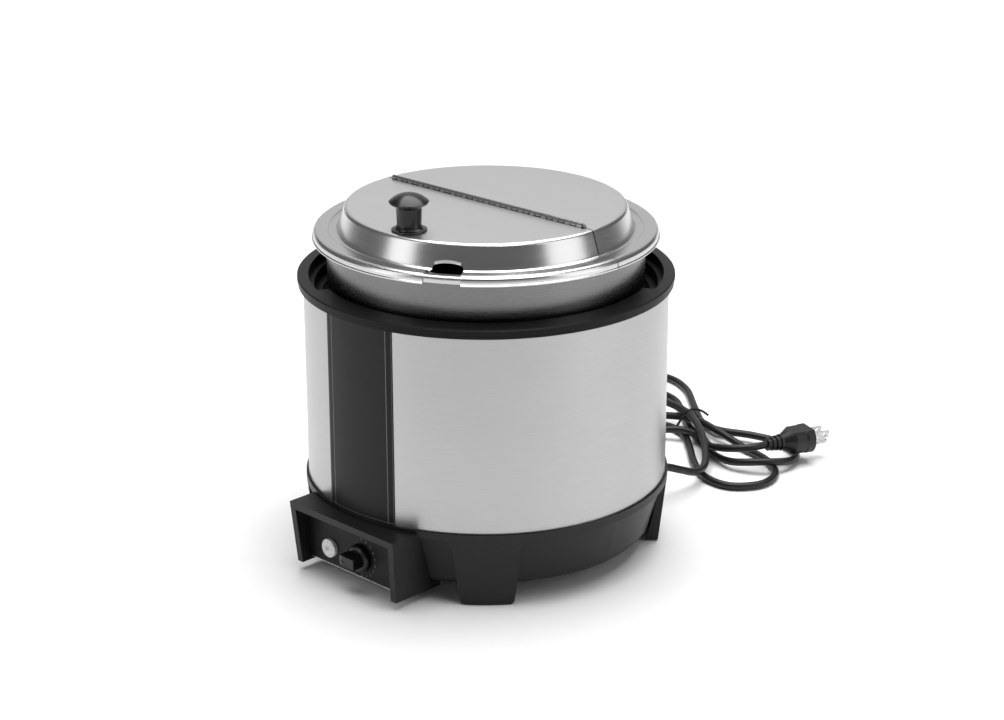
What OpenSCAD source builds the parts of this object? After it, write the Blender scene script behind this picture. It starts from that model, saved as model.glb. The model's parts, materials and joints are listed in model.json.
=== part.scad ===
// Round countertop soup kettle with a lift-out inset, a hinged lid and a mains lead.
// +Z is up, the user stands on the -Y side, and the origin is the kettle's axis on the counter.
// An azimuth is measured from the front (-Y) towards +X.

/* [Shell] */
// Distance between the inset's wall and the outside of the skin
wall_gap = 20; // [19:0.5:40]
// Thickness of the stainless skin
shell_t = 0.8; // [0.6:0.1:1.5]
// Height of the skin that shows between base and collar
shell_h = 167.5; // [130:0.5:220]

/* [Collar] */
// How far the collar stands out past the skin
collar_out = 5; // [3:0.5:8]
// Height of the collar's outer edge
collar_edge_h = 7.6; // [6:0.2:12]
// Thickness of the collar's flat top
collar_t = 3; // [2:0.5:5]
// Gap between the inset's wall and the collar
collar_gap = 4.5; // [4:0.5:8]
// Width of flat rim left outside a finger pocket
pocket_rim = 9.5; // [7:0.5:12]
// Half of the angle that a finger pocket covers
pocket_half = 22; // [12:1:35]
// Depth of a finger pocket's upper step
pocket_step = 9; // [6:0.5:12]

/* [Inset] */
// Outer radius of the inset's wall
inset_r = 133; // [105:1:165]
// Sheet thickness of the inset
inset_t = 0.8; // [0.6:0.1:1.5]
// How far the inset's rim stands above the collar
inset_proud = 38; // [20:1:60]
// Overhang of the inset's rolled rim past its wall
rim_out = 9.6; // [8:0.2:14]
// Depth of the rolled edge of the inset's rim
rim_drop = 5.6; // [4:0.2:8]

/* [Lid] */
// Sheet thickness of the lid
lid_t = 0.8; // [0.6:0.1:1.2]
// Height of the lid's dome above its ledge
dome_h = 20.7; // [14:0.1:30]
// How far the dome's foot stays inside the inset's wall
dome_inset = 9; // [7:0.5:20]
// Slope of the dome's side from the vertical
dome_slope = 20; // [8:1:35]
// Rounding of the dome's top edge
dome_round = 4; // [2:0.5:6]
// Height of the raised bead above the ledge
bead_h = 2; // [1.5:0.1:3]
// Angle that the lid is turned on the inset
lid_turn = 2; // [-90:1:90]
// Azimuth of the ladle notch, from the middle of the front half
notch_az = 29; // [20:1:45]
// Width of the ladle notch at the dome's foot
notch_w = 26; // [18:1:32]
// How far the ladle notch reaches in past the dome's foot
notch_in = 2.7; // [1:0.1:4]

/* [Hinge] */
// Outer radius of the hinge barrel
barrel_r = 2.3; // [2:0.1:3]
// Radius of the hinge pin
hinge_pin_r = 0.9; // [0.7:0.1:1.2]
// Length of one knuckle with its gap
knuckle_pitch = 6.35; // [5:0.05:10]
// Least distance from the hinge's end to the dome's rounded edge
hinge_margin = 6; // [4:1:20]

/* [Lid knob] */
// Radius of the knob's foot
knob_foot_r = 14.5; // [12:0.5:18]
// Radius of the knob's waist
knob_waist_r = 9.9; // [8:0.1:11]
// Radius of the knob's cap
knob_cap_r = 16.3; // [14:0.1:20]
// Height of the knob
knob_h = 31; // [26:0.5:40]
// Distance of the knob's middle from the dome's rounded edge
knob_in = 15; // [15:1:50]
// Azimuth of the knob, from the middle of the front half
knob_az = 5; // [-15:1:12]

/* [Base] */
// Height from the counter to the top of the base
base_h = 65; // [55:1:80]
// Height of the lip under the skin
lip_h = 6.3; // [5:0.1:9]
// How far the base stands out past the skin
lip_out = 2; // [1:0.5:4]
// Height from the counter to the underside of the base
base_lift = 14; // [10:1:20]
// How much smaller in radius the base's underside is than the skin
base_taper = 14; // [8:1:30]
// Wall thickness of the base moulding
base_t = 2.6; // [2:0.1:4]
// Width of a leg where it leaves the lip
leg_w = 56; // [40:1:66]
// Width of a leg at the counter
leg_low_w = 45; // [30:1:50]
// How far a leg leans in at the counter
leg_lean = 6.7; // [3:0.1:10]

/* [Controls] */
// Width of the control hood
hood_w = 125.6; // [110:0.2:152]
// How far the hood's top edge stands out past the skin
hood_reach = 16.5; // [15:0.5:30]
// How far the hood's front leans in at the bottom
hood_lean = 5; // [0:0.5:10]
// Wall thickness of the hood
hood_t = 6; // [4:0.5:8]
// Depth of the panel behind the hood's top edge
panel_in = 15; // [12:0.5:20]
// Thickness of the panel
panel_t = 1.5; // [1:0.1:3]
// Radius of the thermostat knob's skirt
dial_r = 12; // [9:0.5:14]
// How far the thermostat knob stands out from the panel
dial_h = 16; // [12:0.5:20]
// Radius of the thermostat's shaft
shaft_r = 3; // [2.5:0.1:4]
// Radius of the indicator lens
lens_r = 8.2; // [5:0.1:10]
// Half of the angle that the dark front strip covers
strip_half = 14; // [8:0.5:20]

/* [Well and heater] */
// Sheet thickness of the well
well_t = 1.2; // [0.8:0.1:2]
// Water depth between the well's floor and the inset
water_gap = 7; // [6:0.5:12]
// Radius of the heater tube
heater_r = 4; // [3:0.5:5]
// Radius of the heater plate
plate_r = 105; // [80:1:115]

/* [Mains lead] */
// Diameter of the mains lead
lead_d = 7; // [6:0.5:9]
// Azimuth where the lead leaves the base
lead_az = 160; // [150:1:200]

/* [Hidden] */
$fn = 96;

black = "#2b2b2d";
steel = "#c9cacc";
dark_steel = "#8f9092";
part_gap = 0.3;      // between pieces that move apart
run_gap = 0.05;      // radial, around a turning shaft

shell_r = inset_r + wall_gap;
collar_r = shell_r + collar_out;
collar_top = base_h + shell_h + collar_edge_h;
collar_low = collar_top - collar_edge_h;
collar_in = inset_r + collar_gap;
pocket_out = collar_r - pocket_rim;
collar_skirt = 21;
flange_z = collar_top - collar_skirt;
gasket_t = 2;
skin_seat = 3;
skin_slot = 0.2;

rim_z = collar_top + inset_proud;
rim_foot_z = rim_z - rim_drop - 2;
inset_floor_z = base_h - 6.5;
inset_corner = 12;
well_floor_z = inset_floor_z - water_gap;
well_r = collar_in + 1;
well_turn = 3;       // inner radius of the fold into the well's flange

// Four rods tie the base to the collar, with the well's flange clamped between.
rod_r = 1.8;
rod_at = well_r + well_t + rod_r + 2.7;
rod_azimuths = [0, 90, 180, 270];
rod_boss_r = 4.4;
rod_boss_h = 5;
rod_boss_z = base_h - 9;
rod_nut_r = 3.2;
rod_nut_h = 3;
well_flange_r = rod_at + rod_boss_r;

bead_low = rim_z + part_gap;
bead_z = bead_low + lid_t;
ledge_z = bead_z - bead_h;
dome_z = ledge_z + dome_h;
foot_r = inset_r - dome_inset;
dome_edge_r = foot_r - (dome_h - dome_round) * tan(dome_slope);
dome_top_r = dome_edge_r - dome_round * cos(dome_slope);
knob_at = dome_top_r - knob_in;
riser_r = inset_r - inset_t - part_gap - lid_t - 0.2;
lip_r = inset_r + rim_out + part_gap + 0.2 + lid_t;
lip_round = 4.4;
lip_flare = 0.8;
lip_low = rim_z - rim_drop - 1.2;
hinge_z = dome_z + 1.2;
hinge_slot = barrel_r + 0.4;
knuckle_n = 2 * floor((dome_top_r - hinge_margin) / knuckle_pitch);
knuckle_half = knuckle_pitch * knuckle_n / 2;
leaf_w = 12;
leaf_t = 0.8;
knuckle_gap = 1.2;

lip_r_out = shell_r + lip_out;
lip_low_z = base_h - lip_h;
foot_pad_t = 0.8;
leg_wall = 3;
leg_top = base_h - skin_seat - 0.5;
leg_azimuths = [45, 135, -45, -135];
pocket_azimuths = [-45, 135];
base_low_r = shell_r - base_taper;
cover_r = base_low_r - 23;
cover_t = 1.2;
floor_in = cover_r - 8;
block_at = floor_in - 8;
cover_screws = 6;
cover_screw_at = cover_r - 4;
screw_r = 1.5;

hood_out = shell_r + hood_reach;
hood_top = base_h - 3;
hood_low = 7.2;
hood_draft = 2.7;
panel_y = -(hood_out - panel_in);
panel_low = 10.2;
panel_high = hood_top - hood_t;
panel_half = hood_w / 2 - hood_draft - hood_t;
panel_fold = 7;
dial_x = 8.5;
dial_z = 28.3;
lens_x = -29.6;
lens_z = 25.4;
thread_r = 4.7;
hood_back = base_low_r - 24;
hood_screw_x = panel_half - 10;
hood_screw_y = panel_y + 5;
box_w = 42;          // the thermostat's case behind the panel
box_back = panel_y + 34;
box_low = dial_z - 7;
box_high = dial_z + 19;

plate_t = 4;
plate_z = well_floor_z - well_t - plate_t;
heater_z = plate_z - heater_r;
heater_rings = [60, 92];
stud_r = 2;
stud_at = [-38, 38];
bulb_r = 3;
bulb_at = 76;
bulb_x0 = -2;
bulb_x1 = 35;

// The lead's route, chosen by hand: from the sleeve through the tie, round six loops to the plug.
route = [
    [57, 156, 30], [61, 167, 29], [65, 182, 23], [64, 202, 15], [55, 225, 12], [36, 249, 14],
    [10, 273, 19], [-28, 299, 20], [-64, 307, 20], [-100, 308, 18], [-132, 310, 16], [-163, 325, 6],
    [-174, 350, 4], [-164, 378, 4], [-134, 392, 4], [-100, 380, 4], [-64, 350, 4], [-28, 321, 4],
    [2, 312, 7], [32, 321, 8], [62, 330, 6], [88, 318, 5], [99, 293, 9], [87, 268, 12],
    [60, 257, 8], [28, 268, 4], [0, 284, 4], [-31, 305, 4], [-60, 328, 4], [-88, 349, 4],
    [-118, 353, 4], [-141, 335, 4], [-141, 306, 4], [-117, 287, 4], [-86, 289, 6], [-58, 299, 10],
    [-27, 307, 12], [8, 302, 10], [42, 298, 5], [76, 290, 4], [102, 270, 4], [108, 242, 4],
    [90, 219, 4], [60, 220, 4], [30, 240, 4], [2, 266, 4], [-26, 288, 4], [-56, 290, 4],
    [-84, 274, 4], [-106, 250, 4], [-110, 220, 4], [-90, 198, 4], [-62, 204, 4], [-50, 230, 5],
    [-44, 258, 8], [-22, 278, 11], [4, 279, 11], [26, 266, 12], [44, 258, 17], [60, 260, 20],
    [73, 269, 22], [79, 285, 22]];
route_r = 153;       // the skin's radius, azimuth and lead that the route was laid out for
route_az = 160;
route_d = 7;
lead_shift = shell_r - route_r;
lead_lift = (lead_d - route_d) / 2;
tie_at = [-28, 299];
tie_turn = 67;
long_span = 34;      // a span over this length gets one more ring half way along

relief_z = route[0].z + lead_lift;
relief_r = 6.5;
relief_len = 22;
relief_at = norm([route[0].x, route[0].y]) - relief_len + lead_shift;
plug_neck = 17.6;
plug_l = 45;

// Rounds worked out along an arc, and a sheet of even thickness along a line of points.
function arc(c, r, a0, a1, n = 5) =
    [for (i = [0:n]) let (a = a0 + (a1 - a0) * i / n) c + r * [cos(a), sin(a)]];
function unit(v) = v / norm(v);
function left_of(p, q) = let (d = unit(q - p)) [-d.y, d.x];
function shift_at(p, i) =
    let (n = len(p) - 1,
         a = left_of(p[max(i - 1, 0)], p[max(i, 1)]),
         b = left_of(p[min(i, n - 1)], p[min(i + 1, n)]))
    (a + b) / (1 + a * b);
function sheet(p, t) =
    concat(p, [for (i = [len(p) - 1:-1:0]) p[i] - t * shift_at(p, i)]);

module at_az(a) rotate([0, 0, a]) children();
module sector(half) rotate([0, 0, -90 - half]) rotate_extrude(angle = 2 * half) children();
module ring(r_in, r_out, z0, z1) {
    difference() {
        translate([0, 0, z0]) cylinder(r = r_out, h = z1 - z0);
        translate([0, 0, z0 - 1]) cylinder(r = r_in, h = z1 - z0 + 2);
    }
}
module box(p, q) translate(p) cube(q - p);
module screw_up(r, head_r, h) {
    cylinder(r = r, h = h);
    translate([0, 0, -1.6]) cylinder(r1 = head_r * 0.75, r2 = head_r, h = 1.6);
}

// Base moulding: lip, tapered bowl and four channel legs.
function bowl_r(z) = base_low_r + (lip_r_out - 3 - base_low_r) * (z - base_lift) / (lip_low_z - base_lift);
function leg_r(z) = lip_r_out - leg_lean * (lip_low_z - z) / lip_low_z;
function leg_depth(z) = 4 + 6 * (lip_low_z - z) / lip_low_z;

module bowl_outline() {
    corner = 7;
    outer = concat([[lip_r_out, base_h], [lip_r_out, lip_low_z], [bowl_r(lip_low_z), lip_low_z],
                    [bowl_r(base_lift + corner), base_lift + corner]],
                   arc([bowl_r(base_lift + corner) - corner, base_lift + corner], corner, -12, -90),
                   [[floor_in, base_lift]]);
    inner = concat([[floor_in, base_lift + base_t]],
                   arc([bowl_r(base_lift + corner) - corner, base_lift + corner],
                       corner - base_t, -90, -12),
                   [[bowl_r(lip_low_z) - base_t, lip_low_z],
                    [bowl_r(lip_low_z) - base_t, base_h - skin_seat],
                    [shell_r + skin_slot, base_h - skin_seat], [shell_r + skin_slot, base_h]]);
    polygon(concat(outer, inner));
}

module bowl_envelope(gap) {
    rotate_extrude() polygon([[0, base_lift], [base_low_r + gap, base_lift],
                              [bowl_r(lip_low_z) + gap, lip_low_z - gap],
                              [lip_r_out + gap, lip_low_z - gap], [lip_r_out + gap, base_h + 1],
                              [0, base_h + 1]]);
}

module leg_outline(in) {
    corner = 4;
    fillet = 9;
    low = leg_low_w / 2 - in;
    top = leg_w / 2 - in;
    z0 = foot_pad_t + in;
    z1 = leg_top;
    turn = in > 0 ? 1 : fillet;
    bite = 0.2;          // the fillet ends inside the lip
    right = concat(arc([low - corner, z0 + corner], corner, -90, 0),
                   arc([top + turn, lip_low_z - turn + bite], turn, 180, 90), [[top + turn, z1]]);
    polygon(concat(right, [for (i = [len(right) - 1:-1:0]) [-right[i].x, right[i].y]]));
}

module leg_block(in) {
    rotate([90, 0, 0]) translate([0, 0, lip_r_out - 25]) linear_extrude(26) leg_outline(in);
}

module leg_ring(depth_top, depth_low) {
    rotate_extrude() polygon([[lip_r_out, leg_top], [lip_r_out, lip_low_z], [leg_r(0), 0],
                              [leg_r(0) - depth_low, 0], [lip_r_out - depth_top, lip_low_z],
                              [lip_r_out - depth_top, leg_top]]);
}

module leg() {
    intersection() {
        leg_block(0);
        difference() {
            leg_ring(leg_depth(lip_low_z), leg_depth(0));
            intersection() {
                leg_block(leg_wall);
                translate([0, 0, -leg_wall])
                    difference() {
                        ring(leg_r(0) - 30, lip_r_out + 5, leg_wall, base_h + leg_wall);
                        translate([0, 0, leg_wall]) leg_ring(leg_wall, leg_wall);
                    }
                box([-60, -lip_r_out, foot_pad_t + leg_wall], [60, 0, lip_low_z + 0.5]);
            }
        }
    }
}

module base() {
    window_half = panel_half - 6;
    color(black) difference() {
        union() {
            rotate_extrude() bowl_outline();
            for (a = leg_azimuths) at_az(a) leg();
        }
        box([-window_half, -lip_r_out + 3.5, base_lift + 6], [window_half, -hood_back, lip_low_z - 3]);
        at_az(lead_az) translate([0, -lip_r_out, relief_z]) rotate([-90, 0, 0])
            cylinder(r = relief_r, h = 40);
        for (i = [1:cover_screws]) at_az(i * 360 / cover_screws + 30)
            translate([0, -cover_screw_at, base_lift - 1]) cylinder(r = screw_r + 0.1, h = base_t + 2);
    }
    color(black) for (a = rod_azimuths) at_az(a) translate([0, -rod_at, rod_boss_z]) difference() {
        union() {
            cylinder(r = rod_boss_r, h = rod_boss_h);
            box([-rod_boss_r, -rod_boss_r - 1.4, 0], [rod_boss_r, 0, rod_boss_h]);
        }
        translate([0, 0, -1]) cylinder(r = rod_r + 0.2, h = rod_boss_h + 2);
    }
}

module foot_pads() {
    color("#1c1c1c") for (a = leg_azimuths) at_az(a) intersection() {
        translate([-leg_low_w / 2 + 5, -leg_r(0), 0]) cube([leg_low_w - 10, 9, foot_pad_t]);
        ring(leg_r(0) - leg_depth(0) + 1, leg_r(0) - 1.5, 0, foot_pad_t);
    }
}

module bottom_cover() {
    slot_r = 1.5;
    color(steel) difference() {
        translate([0, 0, base_lift - cover_t]) cylinder(r = cover_r, h = cover_t);
        for (i = [1:cover_screws]) at_az(i * 360 / cover_screws + 30)
            translate([0, -cover_screw_at, base_lift - 3]) cylinder(r = screw_r + 0.1, h = 5);
        for (a = [0:30:330]) at_az(a) {
            box([-slot_r, -80, base_lift - 3], [slot_r, -50, base_lift + 1]);
            for (y = [-80, -50]) translate([0, y, base_lift - 3]) cylinder(r = slot_r, h = 4);
        }
    }
}

module bottom_screws() {
    color(steel) for (i = [1:cover_screws]) at_az(i * 360 / cover_screws + 30)
        translate([0, -cover_screw_at, base_lift - cover_t]) screw_up(screw_r, 3.4, 7);
}

// Stainless skin, open along one seam at the back, with the strip that joins it.
module outer_shell() {
    color(steel) difference() {
        ring(shell_r - shell_t, shell_r, base_h - skin_seat, collar_top - collar_t - 0.5);
        box([-0.3, shell_r - 5, 0], [0.3, shell_r + 5, collar_top]);
    }
}

module seam_strip() {
    color(dark_steel) at_az(180) sector(4) translate([shell_r - 2 * shell_t, base_h])
        square([shell_t, shell_h - 3]);
}

module front_strip() {
    film = 0.3;
    color("#38383a") at_az(lid_turn) sector(strip_half) translate([shell_r, base_h])
        square([film, shell_h]);
}

module tie_rods() {
    low = rod_boss_z - rod_nut_h - 1;
    color(dark_steel) for (a = rod_azimuths) at_az(a) translate([0, -rod_at, low])
        cylinder(r = rod_r, h = collar_low - 0.5 - low);
}

module rod_nuts() {
    color(dark_steel) for (a = rod_azimuths) at_az(a) translate([0, -rod_at, rod_boss_z - rod_nut_h])
        difference() {
            cylinder(r = rod_nut_r, h = rod_nut_h, $fn = 6);
            translate([0, 0, -1]) cylinder(r = rod_r, h = rod_nut_h + 2);
        }
}

// Top ring with two finger pockets.
module collar_outline() {
    step = 0.7;
    mid = (collar_top + collar_low) / 2;
    polygon([[collar_in, flange_z], [collar_in, collar_top - 1], [collar_in + 1, collar_top],
             [collar_r - 0.8, collar_top], [collar_r, collar_top - 0.8],
             [collar_r, mid], [collar_r - step, mid - 0.3], [collar_r - step, collar_low],
             [shell_r + skin_slot, collar_low], [shell_r + skin_slot, collar_top - collar_t],
             [collar_in + 2.5, collar_top - collar_t], [collar_in + 2.5, flange_z + 1],
             [well_flange_r, flange_z + 1], [well_flange_r, flange_z]]);
}

module collar() {
    wall = 2;
    pocket_end = 0.8;    // angle of a pocket's end wall
    low_z = flange_z + 0.5;
    floor_z = flange_z + 3;
    shelf_z = collar_top - pocket_step;
    shelf_r = (collar_in + pocket_out) / 2 + 1;
    color(black) difference() {
        union() {
            rotate_extrude() collar_outline();
            for (a = pocket_azimuths) at_az(a) sector(pocket_half + pocket_end)
                translate([collar_in + 1, low_z])
                    square([pocket_out + wall - collar_in - 1, collar_top - low_z - 1]);
            for (a = rod_azimuths) at_az(a) translate([0, -rod_at, flange_z])
                cylinder(r = rod_boss_r, h = collar_skirt - collar_t);
        }
        for (a = pocket_azimuths) at_az(a) sector(pocket_half)
            polygon([[collar_in - 1, floor_z], [shelf_r, floor_z], [shelf_r, shelf_z],
                     [pocket_out, shelf_z], [pocket_out, collar_top + 1],
                     [collar_in - 1, collar_top + 1]]);
        for (a = rod_azimuths) at_az(a) translate([0, -rod_at, flange_z - 1])
            cylinder(r = rod_r + 0.1, h = collar_low - flange_z + 1);
    }
}

module well_gasket() {
    color("#4a4a4c") difference() {
        ring(well_r + well_turn, well_flange_r, flange_z - gasket_t, flange_z);
        for (a = rod_azimuths) at_az(a) translate([0, -rod_at, flange_z - 5])
            cylinder(r = rod_r + 0.3, h = 10);
    }
}

// Water vessel under the inset.
module well() {
    corner = 14;
    line = concat([[0, well_floor_z]],
                  arc([well_r - corner, well_floor_z + corner], corner, -90, 0),
                  arc([well_r + well_turn, flange_z - gasket_t - well_turn], well_turn, 180, 90),
                  [[well_flange_r, flange_z - gasket_t]]);
    color(steel) difference() {
        rotate_extrude() polygon(sheet(line, well_t));
        for (a = rod_azimuths) at_az(a) translate([0, -rod_at, flange_z - 10])
            cylinder(r = rod_r + 0.1, h = 20);
    }
}

// Three domed supports for the inset's floor.
module inset_supports() {
    support_r = 9;
    support_h = water_gap - part_gap;
    support_at = well_r - 38;
    crown_r = 14;
    color(steel) for (i = [0:2]) at_az(i * 120 + 60) translate([0, -support_at, well_floor_z])
        intersection() {
            cylinder(r = support_r, h = support_h);
            translate([0, 0, support_h - crown_r]) sphere(r = crown_r);
        }
}

module insulation() {
    color("#e6dfc8") difference() {
        ring(well_r + well_t + 1, shell_r - 2 * shell_t - 0.6, base_h + 4, flange_z - gasket_t - 8);
        box([-1, well_r, 0], [1, shell_r, collar_top]);
        for (a = rod_azimuths) at_az(a) translate([0, -rod_at, 0])
            cylinder(r = rod_r + 1, h = collar_top);
    }
}

// Heater under the well: spreader plate, tube, clamp bar and its nuts.
module heater_plate() {
    color("#b8babd") translate([0, 0, plate_z]) cylinder(r = plate_r, h = plate_t);
}

module heater_tube() {
    gap = 20;
    bend = (heater_rings[1] - heater_rings[0]) / 2;
    color("#77787a") translate([0, 0, heater_z]) {
        for (r = heater_rings) at_az(gap) {
            rotate([0, 0, -90]) rotate_extrude(angle = 360 - 2 * gap) translate([r, 0]) circle(r = heater_r);
            translate([0, -r, 0]) rotate([0, -90, 0]) cylinder(r = heater_r, h = 9);
        }
        at_az(-gap) translate([0, -heater_rings[0] - bend, 0]) rotate([0, 0, -90])
            rotate_extrude(angle = 180) translate([bend, 0]) circle(r = heater_r);
    }
}

module heater_clamp() {
    clamp_t = 3;
    color(dark_steel) difference() {
        box([-105, -11, heater_z - heater_r - clamp_t], [105, 11, heater_z - heater_r]);
        for (x = stud_at) translate([x, 0, 0]) cylinder(r = stud_r + 0.3, h = plate_z);
    }
}

module heater_nuts() {
    color(steel) for (x = stud_at) translate([x, 0, 0]) {
        translate([0, 0, heater_z - heater_r - 7]) cylinder(r = stud_r, h = 2 * heater_r + 7);
        difference() {
            translate([0, 0, heater_z - heater_r - 6]) cylinder(r = 4, h = 3, $fn = 6);
            translate([0, 0, heater_z - heater_r - 7]) cylinder(r = stud_r, h = 8);
        }
    }
}

module high_limit() {
    color("#d8d2c2") translate([0, 30, plate_z - 7]) {
        cylinder(r = 9, h = 7);
        for (x = [-6, 6]) translate([x - 0.4, -3, -5]) cube([0.8, 6, 5]);
    }
}

module sensor_bulb() {
    color("#b87333") translate([bulb_x0, -bulb_at, plate_z - bulb_r]) rotate([0, 90, 0])
        cylinder(r = bulb_r, h = bulb_x1 - bulb_x0);
}

module sensor_capillary() {
    tube_r = 1;
    side = bulb_x1 + 5;
    top_z = plate_z - bulb_r;
    case_side = dial_x + box_w / 2;
    color("#b87333") {
        translate([bulb_x1, -bulb_at, top_z]) rotate([0, 90, 0]) cylinder(r = tube_r, h = side - bulb_x1);
        translate([side, -bulb_at, top_z]) sphere(r = tube_r);
        translate([side, -bulb_at, dial_z]) cylinder(r = tube_r, h = top_z - dial_z);
        translate([side, -bulb_at, dial_z]) sphere(r = tube_r);
        translate([side, box_back, dial_z]) rotate([-90, 0, 0])
            cylinder(r = tube_r, h = -bulb_at - box_back);
        translate([side, box_back, dial_z]) sphere(r = tube_r);
        translate([case_side, box_back, dial_z]) rotate([0, 90, 0])
            cylinder(r = tube_r, h = side - case_side);
    }
}

module terminal_block() {
    color("#e8e4d8") translate([-30, block_at, base_lift + base_t]) difference() {
        cube([60, 18, 12]);
        for (x = [10, 30, 50], y = [5, 13]) translate([x, y, 5]) cylinder(r = 2.6, h = 10);
    }
}

module wire_run(x, y0, y1, z, up) {
    wire_r = 1.4;
    translate([x, y0, z]) rotate([-90, 0, 0]) cylinder(r = wire_r, h = y1 - y0);
    translate([x, y0, z]) sphere(r = wire_r);
    translate([x, y0, z]) cylinder(r = wire_r, h = up);
}

module wiring() {
    wire_z = base_lift + base_t + 4;
    block_y = block_at - 0.5;
    color("#7a1f1f") {
        wire_run(-22, -60, block_y, wire_z, 4);
        wire_run(22, 40, block_y, wire_z, 6);
        wire_run(0, 60, block_y, wire_z, 3);
    }
}

module ground_stud() {
    stud_az = 144.3;
    color("#c9a227") at_az(stud_az) translate([0, -floor_in - 5.2, base_lift + base_t]) {
        cylinder(r = 2, h = 12);
        translate([0, 0, 4]) cylinder(r = 4, h = 3, $fn = 6);
    }
}

// Control hood, panel and what it carries.
module hood_side(in) {
    open = in > 0 ? 10 : 0;
    rotate([90, 0, 90]) translate([0, 0, -100]) linear_extrude(200)
        polygon([[-hood_out - open, hood_top - in], [-hood_back, hood_top - in],
                 [-hood_back, hood_low - open], [-hood_out + hood_lean - open, hood_low - open]]);
}

module hood_face(in) {
    top = hood_w / 2 - in;
    low = top - hood_draft;
    rotate([90, 0, 0]) linear_extrude(200)
        polygon([[-top, hood_top + 1], [top, hood_top + 1], [low, hood_low - 2], [-low, hood_low - 2]]);
}

module control_hood() {
    color(black) difference() {
        union() {
            difference() {
                intersection() {
                    hood_side(0);
                    hood_face(0);
                }
                intersection() {
                    hood_side(hood_t);
                    hood_face(hood_t);
                }
            }
            for (x = [-hood_screw_x, hood_screw_x])
                translate([x, hood_screw_y, panel_low + panel_t]) cylinder(r = 3.4, h = 46);
        }
        bowl_envelope(0.2);
        for (x = [-hood_screw_x, hood_screw_x])
            translate([x, hood_screw_y, panel_low]) cylinder(r = screw_r, h = 12);
    }
}

module hood_screws() {
    color(steel) for (x = [-hood_screw_x, hood_screw_x]) translate([x, hood_screw_y, panel_low])
        difference() {
            screw_up(screw_r, 3, 9);
            translate([0, 0, -2]) cylinder(r = 1, h = 1.2, $fn = 6);
        }
}

module control_panel() {
    color("#343436") difference() {
        intersection() {
            hood_face(hood_t + 0.2);
            union() {
                box([-hood_w, panel_y, panel_low], [hood_w, panel_y + panel_t, panel_high]);
                box([-hood_w, panel_y, panel_low],
                    [hood_w, panel_y + panel_t + panel_fold, panel_low + panel_t]);
            }
        }
        translate([dial_x, panel_y - 1, dial_z]) rotate([-90, 0, 0])
            cylinder(r = thread_r + 0.1, h = 5);
        translate([lens_x, panel_y - 1, lens_z]) rotate([-90, 0, 0]) cylinder(r = lens_r - 2, h = 5);
        for (x = [-hood_screw_x, hood_screw_x]) translate([x, hood_screw_y, panel_low - 1])
            cylinder(r = screw_r + 0.1, h = 4);
    }
}

module thermostat_body() {
    color("#d9d4c6") difference() {
        union() {
            box([dial_x - box_w / 2, panel_y + panel_t, box_low], [dial_x + box_w / 2, box_back, box_high]);
            translate([dial_x, panel_y - 2.2, dial_z]) rotate([-90, 0, 0])
                cylinder(r = thread_r, h = 8);
        }
        translate([dial_x, panel_y - 4, dial_z]) rotate([-90, 0, 0])
            cylinder(r = shaft_r + run_gap, h = 18);
    }
}

module thermostat_nut() {
    color(steel) translate([dial_x, panel_y, dial_z]) rotate([90, 0, 0]) difference() {
        cylinder(r = 7, h = 2, $fn = 6);
        translate([0, 0, -1]) cylinder(r = thread_r, h = 4);
    }
}

module thermostat_shaft() {
    color(steel) translate([dial_x, panel_y - dial_h + 4, dial_z]) rotate([-90, 0, 0])
        cylinder(r = shaft_r, h = dial_h + 6);
}

module thermostat_knob() {
    grip_w = 9;
    grip_l = 10.5;
    skirt = 6;
    color("#1e1e20") translate([dial_x, panel_y, dial_z]) rotate([90, 0, 0]) difference() {
        union() {
            rotate_extrude() polygon(concat([[0, part_gap], [dial_r, part_gap], [dial_r, 2]],
                                            arc([dial_r - 3.5, 2.5], 3.5, 0, 90), [[0, skirt]]));
            intersection() {
                box([-grip_l, -grip_w / 2, 2], [grip_l - 3, grip_w / 2, dial_h]);
                translate([0, 0, -14]) sphere(r = dial_h + 14.8);
                cylinder(r = dial_r - 0.6, h = dial_h);
            }
        }
        translate([0, 0, -1]) cylinder(r = 7.6, h = 4.3);
        translate([0, 0, -1]) cylinder(r = shaft_r, h = dial_h - 3);
        box([-grip_l - 2, -0.5, dial_h - 0.6], [-3, 0.5, dial_h + 1]);
    }
}

module indicator_lens() {
    color("#f2f2ee") translate([lens_x, panel_y, lens_z]) rotate([90, 0, 0]) rotate_extrude()
        polygon(concat([[0, 0], [lens_r, 0], [lens_r, 2.2]],
                       arc([lens_r - 1, 2.2], 1, 0, 90), [[0, 3.6]]));
}

module indicator_body() {
    color("#e9e6da") translate([lens_x, panel_y, lens_z]) rotate([-90, 0, 0]) {
        cylinder(r = lens_r - 2.1, h = 16);
        translate([0, 0, panel_t]) cylinder(r = lens_r, h = 3);
        for (x = [-3, 3]) translate([x - 0.4, -1.5, 15]) cube([0.8, 3, 7]);
    }
}

// Lift-out pot and its rolled rim.
module inset_pot() {
    line = concat([[0, inset_floor_z]],
                  arc([inset_r - inset_corner, inset_floor_z + inset_corner], inset_corner, -90, 0),
                  [[inset_r, rim_foot_z]]);
    color(dark_steel) rotate_extrude() polygon(sheet(line, -inset_t));
}

module inset_rim() {
    turn = 2;
    turn_z = rim_z - inset_t - turn;
    line = concat([[inset_r, rim_foot_z]],
                  arc([inset_r + turn, turn_z], turn, 180, 90),
                  arc([inset_r + rim_out - inset_t - turn, turn_z], turn, 90, 0),
                  [[inset_r + rim_out - inset_t, rim_z - rim_drop]]);
    color(dark_steel) rotate_extrude() polygon(sheet(line, -inset_t));
}

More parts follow.
